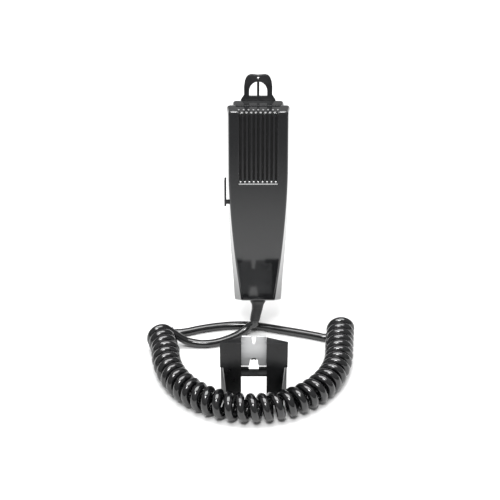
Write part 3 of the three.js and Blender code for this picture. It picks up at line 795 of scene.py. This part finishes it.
def cloth_and_shade_in_grooves(mesh, cloth):
    """Gives the grooves' floors and open ends the dark matte cloth. On the middle grooves' floors it is
    the cloth that shows through their slots; on the outer grooves' floors, with no cloth behind them, and
    on the ends near the crest it is painted shade, a dark sheet in place of a deeper slot's shade that
    also hides their highlights.
    """
    mesh.materials.append(cloth)
    to_mic = MIC.inverted()
    for polygon in mesh.polygons:
        centre = to_mic @ polygon.center
        # the middle grooves' floors show the real cloth; the outer grooves' floors, with no cloth behind
        # them, get it as painted shade
        on_floor = centre.z > GRILLE_LOW + 2 and abs(centre.y - SLOT_DEPTH) < 0.1
        aside = abs(centre.x - round(centre.x / SLOT_PITCH) * SLOT_PITCH)
        # painted shade: the groove ends near the crest get the dark matte cloth in place of the shade of
        # a deeper slot, which takes away their highlights
        painted_shade_end = aside < 0.85 and centre.z > BODY_H - 6 and centre.y < 4
        if abs(centre.x) < RECESS_HALF - 0.5 and (on_floor or painted_shade_end):
            polygon.material_index = 1


def make_front_shell(case, cloth):
    edge = [0, 0.12, 0.35, 0.7, 1.05, 1.4, 1.8, 2.3, 4, 6]
    depths = edge + [SLOT_TOP_END + d for d in (-1.4, -0.8, -0.2, 0.4)]
    depths += [SPLIT - d for d in (6, 2, 0.55, 0.25, SEAM_HALF)]

    def outside(x, share, depth):
        point = case_point(x, share, depth, 0, False)
        rim = drawn_in(RIM_ROUND, SPLIT - SEAM_HALF - depth)
        if abs(x) > KEEP_HALF:
            point.x -= math.copysign(rim, point.x)
        if share in (0, 1):
            point.z += rim if share == 0 else -rim
        if point.z < GRILLE_LOW - 1:
            return point
        return point + grille_shift(x, point.z, point.y)

    def inside(x, share, depth):
        return case_point(x, share, depth, WALL, False)

    xs, rows = front_columns(), front_rows()
    inner_depths = [FRONT_WALL] + [d for d in depths if d > FRONT_WALL]
    outer = grid_mesh(xs, rows, depths, outside)
    inner = grid_mesh(xs, rows, inner_depths, inside)
    mesh = mesh_of("front_shell_skin", *hollow(outer, inner), MIC)
    mesh.materials.append(case)
    # the grooves get the cloth, partly as painted shade
    cloth_and_shade_in_grooves(mesh, cloth)
    ear_z = (PIVOT_Z - EAR_HALF, PIVOT_Z + EAR_HALF)
    mesh = boolean(mesh, [box(EAR_X, y, ear_z, MIC) for y in EAR_Y], "UNION")
    slot_z = (PIVOT_Z - FOOT_SLOT_HALF, PIVOT_Z + FOOT_SLOT_HALF)
    slot = box(FOOT_SLOT_X, (EAR_Y[0][1], EAR_Y[1][0]), slot_z, MIC)
    bore = drum(PIN_R + CLEARANCE, 0, 16.7, MIC @ along_y(PIVOT_X, FRONT_WALL + 0.1, PIVOT_Z))
    return boolean(mesh, [slot, bore], "DIFFERENCE")


def make_rear_shell():
    xs = mirrored([0, 4.5, 9, 14, 18.6, 21, 23, 24.4, FACE_HALF])
    below = [0, 0.3, 0.8, 1.6, 2.6, 3.5, 6, 10]
    above = [13, 8, 5, 3.5, 2.6, 1.6, 0.8, 0.3, 0]
    rows = [z / BODY_H for z in below + spread(16, 160, 36) + [BODY_H - d for d in above]]
    depths = [1, 0.985, 0.955, 0.91, 0.86, 0.8, 0.7, 0.5, 0.25, 0.04, 0]

    def outside(x, share, depth):
        return case_point(x, share, depth, 0, True)

    def inside(x, share, depth):
        return case_point(x, share, depth, WALL, True)

    outer, inner = grid_mesh(xs, rows, depths, outside), grid_mesh(xs, rows, depths, inside)
    mesh = mesh_of("rear_shell_skin", *hollow(outer, inner), MIC)
    tools = []
    for x, z in CASE_SCREWS:
        stand = MIC @ along_y(x, back_at(z), z)
        tools += [drum(CASE_SEAT_R, -CASE_SEAT_DEPTH, 10, stand, 40), drum(1.8, -12, 0, stand)]
    return boolean(mesh, tools, "DIFFERENCE")


def make_case(looks):
    case = looks["case"]
    front = make_front_shell(case, looks["cloth"])
    piece("front_shell_skin", front, case, "front_shell", smooth_angle=40)
    piece("rear_shell_skin", make_rear_shell(), case, "rear_shell", smooth_angle=40)
    for i, (x, z) in enumerate(CASE_SCREWS, 1):
        stand = MIC @ along_y(x, back_at(z) - CASE_SEAT_DEPTH + CLEARANCE, z)
        screw = cross_screw(stand, head_r=2.6, head_h=1.6, shank_r=1.25, shank_len=12)
        piece(f"case_screw_detail_{i}", screw, looks["dark_steel"], f"case_screw_{i}")


# ---- talk bar ----------------------------------------------------------------------------------

def make_talk_bar(looks):
    (left, right), (low, high) = BAR_X, BAR_Z
    face = rounded([(left, low), (right, low), (right, high), (left, high)], 0.5, 3)
    foot_z = (PIVOT_Z - BAR_FOOT_HALF, PIVOT_Z + BAR_FOOT_HALF)
    foot = box((left + 0.5, ARM_X[1]), BAR_FOOT_Y, foot_z, MIC)
    arm = box(ARM_X, ARM_Y, (foot_z[0], ARM_TOP), MIC)
    bar = boolean(prism(face, *BAR_Y, MIC, "y"), [foot, arm], "UNION")
    bore = drum(PIN_R + CLEARANCE, 0, 20, MIC @ along_y(PIVOT_X, 0, PIVOT_Z))
    bar = boolean(bevelled(bar, 0.25, 3, 40), [bore], "DIFFERENCE")
    piece("talk_bar_detail", bar, looks["lever"], "talk_bar")

    length, edge = PIN_Y[1] - PIN_Y[0], 0.15
    profile = [
        (0, 0), (PIN_R - edge, 0), (PIN_R, edge),
        (PIN_R, length - edge), (PIN_R - edge, length), (0, length),
    ]
    pin = lathe(profile, MIC @ along_y(PIVOT_X, PIN_Y[0], PIVOT_Z), 32)
    piece("talk_bar_pin_detail", pin, looks["steel"], "talk_bar_pin")


# ---- hang loop and stud ------------------------------------------------------------------------

def loop_window(side):
    """One half of the arched window: its top is a quarter of an ellipse."""
    points = [(side * POST_HALF, WINDOW_LOW), (side * WINDOW_HALF, WINDOW_LOW)]
    for i in range(13):
        a = i / 12 * math.acos(POST_HALF / WINDOW_HALF)
        points.append((side * WINDOW_HALF * math.cos(a), ARCH_START + ARCH_RISE * math.sin(a)))
    return points if side > 0 else points[::-1]


def make_hang_loop(looks):
    half = [
        (15, 155), (15, 172.6), (12.9, 176), (12.1, 177), (12.2, 184),
        (11.5, 189.5), (10.3, 192.6), (8.6, 194.5), (6.2, 195.4),
    ]
    outline = rounded(half + [(0, 194.8)] + [(-x, z) for x, z in reversed(half)], 1.6)
    screws = (-LOOP_SCREW_X, LOOP_SCREW_X)
    holes = [loop_window(-1), loop_window(1), circle(0, 192.2, 0.9)]
    holes += [circle(x, LOOP_SCREW_Z, 1.8) for x in screws]
    loop = sheet_plate([outline] + holes, LOOP_Y, 0.35, MIC)
    seats = [drum(3.1, 0, 4, MIC @ along_y(x, LOOP_SEAT_Y, LOOP_SCREW_Z), 32) for x in screws]
    piece("hang_loop_detail", boolean(loop, seats, "DIFFERENCE"), looks["lever"], "hang_loop")
    for i, x in enumerate(screws, 1):
        stand = MIC @ along_y(x, LOOP_SEAT_Y + CLEARANCE, LOOP_SCREW_Z)
        screw = cross_screw(stand, head_r=2.75, head_h=0.9, shank_r=1.15, shank_len=7.9)
        piece(f"loop_screw_detail_{i}", screw, looks["dark_steel"], f"loop_screw_{i}")


def make_hang_stud(looks):
    """A mushroom stud: its head, its neck, its collar on the case and its threaded end."""
    head = [(0, 8), (4.6, 8), (5.6, 7.8), (6.2, 7.3), (6.5, 6.5), (6.4, 6), (5.9, 5.7), (2.6, 5.5)]
    neck = [(2, 5), (2, 1.9)]
    collar = [(2.3, 1.5), (4.1, 1.3), (4.5, 1.05), (4.5, 0.3), (4.2, 0)]
    shank = [(1.45, 0), (1.45, -8.4), (1.1, -8.8), (0, -8.8)]
    stud = lathe(head + neck + collar + shank, MIC @ along_y(0, STUD_Y, STUD_Z), 64)
    piece("hang_stud_detail", stud, looks["alloy"], "hang_stud")


# ---- cord boot ---------------------------------------------------------------------------------

def boot_profile():
    """Radius and height down the boot: a groove for the case's wall, a flange and soft rings."""
    ring_top, ring_run, ring_pitch, ring_height = -9, 14, 2.4, 0.14
    profile = [(6.2, 5.2), (6.2, 2.8), (4.7, 2.7), (4.7, -0.3)]
    profile += [(6.4, -0.35), (6.7, -0.45), (6.8, -0.7), (6.8, -1.2), (6.65, -1.7), (6.2, -2.5)]
    profile += [(5.7, -3.4), (5.3, -4.3), (5.1, -5.5), (4.98, -7.2), (4.9, ring_top)]
    for i in range(1, 40):
        down = i * ring_run / 40
        ring = -ring_height * math.sin(down * 2 * math.pi / ring_pitch)
        profile.append((4.85 - 0.45 * down / ring_run + ring, ring_top - down))
    return profile + [(4.35, -23.2), (4.15, -23.7), (3.85, -BOOT_LEN), (3.35, -BOOT_LEN)]


def make_boot(looks):
    """The rubber boot, whose middle line bends to the left. Its flange follows the slanted bottom."""
    sides, rings = 40, []
    for r, z in boot_profile():
        x = BOOT_BEND * (-z / BOOT_LEN) ** 1.6 if z < 0 else 0
        tilt = BOTTOM_SLANT * (1 - smoothstep(5, 20, -z))
        rings.append([(px, py, z - tilt * py) for px, py in circle(x, BOOT_Y, r, sides)])
    mesh = stacked("cable_boot_detail", rings, MIC)
    piece("cable_boot_detail", mesh, looks["rubber"], "cable_boot")


# ---- cord --------------------------------------------------------------------------------------

def smooth_line(points, step):
    """A Catmull-Rom curve through points, sampled about every step."""
    points = [Vector(p) for p in points]
    full = [points[0] * 2 - points[1], *points, points[-1] * 2 - points[-2]]
    made = []
    for p0, p1, p2, p3 in zip(full, full[1:], full[2:], full[3:]):
        count = max(1, round((p2 - p1).length / step))
        for k in range(count):
            t = k / count
            bend = (2 * p0 - 5 * p1 + 4 * p2 - p3) * t**2 + (3 * p1 - p0 - 3 * p2 + p3) * t**3
            made.append(0.5 * (2 * p1 + (p2 - p0) * t + bend))
    return made + [points[-1]]


def coil_axis():
    """The middle line of the coil: an arm, a half circle and the other arm."""
    inset, height, steps = CORD_D / 2, COIL_D / 2, 60
    (centre_x, centre_y), (left_x, left_y), (right_x, right_y) = COIL_CENTRE, COIL_LEFT, COIL_RIGHT
    line = [Vector((left_x, left_y - inset, height))]
    for i in range(steps + 1):
        a = math.pi * i / steps
        line.append(Vector((centre_x - COIL_R * math.cos(a), centre_y - COIL_R * math.sin(a), height)))
    line.append(Vector((right_x, right_y - inset, height)))
    return line


def helix():
    """The coiled cord: a right-handed helix round the coil's axis."""
    line = coil_axis()
    lengths = [0]
    for a, b in zip(line, line[1:]):
        lengths.append(lengths[-1] + (b - a).length)
    turn_radius = (COIL_D - CORD_D * COIL_SWELL) / 2
    first, last = -math.pi / 4, math.pi * (2 * TURNS + 1)  # from above, inside the U, to underneath
    count = TURN_STEPS * TURNS
    made, segment = [], 0
    for i in range(count + 1):
        share = i / count
        eased = share - PITCH_SWING / (2 * math.pi) * math.sin(2 * math.pi * share)
        along = lengths[-1] * eased
        while segment < len(line) - 2 and lengths[segment + 1] < along:
            segment += 1
        a, b = line[segment], line[segment + 1]
        t = (along - lengths[segment]) / (lengths[segment + 1] - lengths[segment])
        side = (b - a).normalized().cross(Vector((0, 0, 1)))
        angle = first + (last - first) * share
        outwards = Vector((0, 0, math.cos(angle))) + side * math.sin(angle)
        made.append(a.lerp(b, t) + turn_radius * outwards)
    return made


def make_cord(looks):
    """The cord from the boot to the plug. Returns its piece, where it leaves the boot, its length."""
    exit_point = mic_to_table @ Vector((BOOT_BEND, BOOT_Y, -BOOT_LEN))
    down = (mic_to_table.to_3x3() @ Vector((0, 0, -1))).normalized()
    coil = helix()
    start = [exit_point - down * 1.5, exit_point + down * 3]
    lead = smooth_line([*start, *LEAD_POINTS, coil[0]], 2)
    tail = smooth_line([coil[-1], *TAIL_POINTS], 3)
    route = lead[:-1] + coil + tail[1:]
    curve = bpy.data.curves.new("curly_cord", "CURVE")
    curve.dimensions = "3D"
    curve.bevel_depth = CORD_D / 2 * MM
    curve.bevel_resolution = 4
    curve.use_fill_caps = True
    spline = curve.splines.new("POLY")
    spline.points.add(len(route) - 1)
    swell_start, swell_end = len(lead), len(lead) + len(coil)
    for i, (point, place) in enumerate(zip(spline.points, route)):
        point.co = (*(TABLE @ place), 1)
        into = min(i - swell_start, swell_end - i) / 12
        point.radius = 1 + (COIL_SWELL - 1) * clamp(into)
    spline.use_smooth = True
    cord = piece("curly_cord", curve, looks["cord"], "lead_cord", "coil_cord", "tail_cord")
    length = sum((b - a).length for a, b in zip(route, route[1:])) * MM
    return cord, TABLE @ exit_point, length


# ---- plug --------------------------------------------------------------------------------------

def make_plug(looks):
    """A six-way modular plug: a clear body with slots for its contacts, blades and a latch.
    Returns its pieces."""
    half = PLUG_W / 2
    outline = [(-half, 0), (half, 0), (half, PLUG_H), (-half, PLUG_H)]
    body = bevelled(prism(rounded(outline, 0.4, 2), 0, PLUG_LEN, PLUG, "x"), 0.25, 2)
    contact_y = [(i - (CONTACTS - 1) / 2) * CONTACT_PITCH for i in range(CONTACTS)]
    past = PLUG_LEN + 1
    latch_room = box((PLUG_LEN - 8.6, past), (-3.4, 3.4), (PLUG_H - 1.7, PLUG_H + 1), PLUG)
    slots = [box((PLUG_LEN - 4.6, past), (y - 0.32, y + 0.32), (-1, 2.4), PLUG) for y in contact_y]
    strain_relief = box((4.2, 6.2), (-2.6, 2.6), (-1, 1.1), PLUG)
    enter = PLUG @ Matrix.Translation((0, 0, PLUG_H / 2)) @ Matrix.Rotation(math.pi / 2, 4, "Y")
    cord_hole = lathe([(0, -1), (3.4, -1), (3.4, 3), (2.6, 4.2), (0, 4.2)], enter, 32)
    body = boolean(body, [latch_room, *slots, strain_relief, cord_hole], "DIFFERENCE")
    made = [piece("plug_body_detail", body, looks["clear"], "plug_body")]
    blade = rounded([(10.7, 0.5), (14.4, 0.5), (14.4, 2.1), (10.7, 2.1)], 0.4, 3)
    for i, y in enumerate(contact_y, 1):
        mesh = prism(blade, y - 0.16, y + 0.16, PLUG, "y")
        made.append(piece(f"plug_contact_detail_{i}", mesh, looks["gold"], f"plug_contact_{i}"))
    tongue = [(14.6, 5.4), (14.6, 6.4), (10.4, 7.6), (2.6, 9.8), (2.6, 8.8), (10, 6.6)]
    latch = bevelled(prism(rounded(tongue, 0.25, 2), -1.6, 1.6, PLUG, "y"), 0.15, 2)
    made.append(piece("plug_latch_detail", latch, looks["clear"], "plug_latch"))
    return made


# ---- holder ------------------------------------------------------------------------------------

def make_holder_body(looks):
    """Two blocks on two tapering legs, joined by a thin shelf with an upstand at each end."""
    shelf_end, upstand = 11.5, 4.2
    parts = [box((-shelf_end, shelf_end), (1, LEG_D), SHELF_Z, HOLDER)]
    for x in ((-shelf_end, -upstand), (upstand, shelf_end)):
        parts.append(box(x, (LEG_D - 1.6, LEG_D), (SHELF_Z[0], 34.3), HOLDER))
    plan = [
        (MOUTH_HALF, 0), (BLOCK_HALF - 4.2, 0), (BLOCK_HALF, 0.7), (BLOCK_HALF, 2.2), (MOUTH_HALF, LEG_D),
    ]
    inner = MOUTH_HALF + 0.2
    for side in (-1, 1):
        parts.append(prism([(side * x, y) for x, y in plan], STEP_Z, HOLDER_H, HOLDER))
        rings = []
        for z, front in zip((0, STEP_Z + 0.5), LEG_FRONT):
            ring = [(inner, 0.5), (front, 0.5), (LEG_BACK, LEG_D - 2), (LEG_BACK, LEG_D), (inner, LEG_D)]
            rings.append([(side * x, y, z) for x, y in ring])
        parts.append(stacked("leg", rings, HOLDER))
    body = bevelled(boolean(parts[0], parts[1:], "UNION"), 0.55, 3, 25)
    holes = [drum(1.5, -8, 12, HOLDER @ along_y(x, PLATE_Y[1], z)) for x, z in RIVETS]
    body = boolean(body, holes, "DIFFERENCE")
    body.materials.clear()
    body.materials.append(looks["block"])
    body.materials.append(looks["case"])
    leg_top = (HOLDER @ Vector((0, 0, STEP_Z - 0.6))).z
    for polygon in body.polygons:
        polished = abs(polygon.normal.x) > 0.85 and polygon.center.z < leg_top
        polygon.material_index = 1 if polished else 0
    piece("holder_body_detail", body, looks["block"], "holder_body")


def notch_arch(radius, low, high):
    """Points of an arch in the plate's lower notch, between two angles in degrees."""
    turn = [math.radians(low + (high - low) * i / 16) for i in range(17)]
    return [(radius * math.cos(a), BUMPER_Z + radius * math.sin(a)) for a in turn]


def make_holder_plate(looks):
    """The steel plate with its V notch above and its bell notch below, its bumper and rivets."""
    low, top = PLATE_Z
    half = [
        (1.1, 58), (2.35, top), (TONGUE_HALF, top), (TONGUE_HALF, SHOULDER_Z),
        (PLATE_HALF, SHOULDER_Z), (PLATE_HALF, low), (4.2, low), (3.6, low + 2),
    ]
    right = rounded(half, 0.35, 3)[1:]
    outline = right + notch_arch(NOTCH_R, 0, 180) + [(-x, z) for x, z in reversed(right)]
    rivet_holes = [circle(x, z, 1.5) for x, z in RIVETS]
    plate = sheet_plate([outline] + rivet_holes, PLATE_Y, 0.12, HOLDER)
    seat_y = PLATE_Y[1] - RIVET_SEAT_DEPTH
    seats = [drum(2.9, 0, 3, HOLDER @ along_y(x, seat_y, z), 32) for x, z in RIVETS]
    plate = boolean(plate, seats, "DIFFERENCE")
    piece("holder_plate_detail", plate, looks["steel"], "holder_plate")

    ring = notch_arch(BUMPER_R[1], 35, 145) + notch_arch(BUMPER_R[0], 145, 35)
    bumper = bevelled(prism(ring, LEG_D, 10.1, HOLDER, "y"), 0.15, 2)
    piece("notch_bumper_detail", bumper, looks["rubber"], "notch_bumper")

    head = [(0, 0.5), (1.7, 0.48), (2.3, 0.36), (2.58, 0.12), (2.5, 0)]
    profile = head + [(1.2, 0), (1.2, -5.9), (1.0, -6.1), (0, -6.1)]
    for i, (x, z) in enumerate(RIVETS, 1):
        rivet = lathe(profile, HOLDER @ along_y(x, seat_y + CLEARANCE, z), 40)
        piece(f"holder_rivet_detail_{i}", rivet, looks["alloy"], f"holder_rivet_{i}")


# ---- pieces that keep their CAD shape ----------------------------------------------------------

def dress_inside(looks):
    """The pieces inside the case keep their CAD shapes and get their materials."""
    dressed = {
        "cloth": ["acoustic_cloth"],
        "alloy": ["microphone_capsule"],
        "rubber": ["capsule_ring"],
        "foam": ["foam_block"],
        "board": ["circuit_board"],
        "switch": ["microswitch"],
        "lever": ["switch_plunger"],
        "steel": ["stud_nut", "cable_clamp"],
        "cord": ["cable_inside"],
        "dark_steel": ["clamp_screw_1", "clamp_screw_2"],
    }
    for look, names in dressed.items():
        for name in names:
            node = frame["nodes"][name]
            node.data.materials.clear()
            node.data.materials.append(looks[look])


def main():
    looks = {
        "case": glossy_case(),
        "block": satin_block(),
        "lever": satin_lever(),
        "cord": cord_jacket(),
        "rubber": soft_rubber(),
        "steel": brushed_steel(),
        "dark_steel": dark_steel(),
        "alloy": turned_alloy(),
        "gold": gold_flash(),
        "cloth": woven_cloth(),
        "foam": open_foam(),
        "board": solder_mask(),
        "switch": dark_phenolic(),
        "clear": clear_plastic(),
    }
    make_camera()
    cord, exit_point, length = make_cord(looks)
    plug_pieces = make_plug(looks)
    make_boot(looks)
    make_case(looks)
    make_talk_bar(looks)
    make_hang_loop(looks)
    make_hang_stud(looks)
    make_holder_body(looks)
    make_holder_plate(looks)
    dress_inside(looks)
    make_stage()


main()
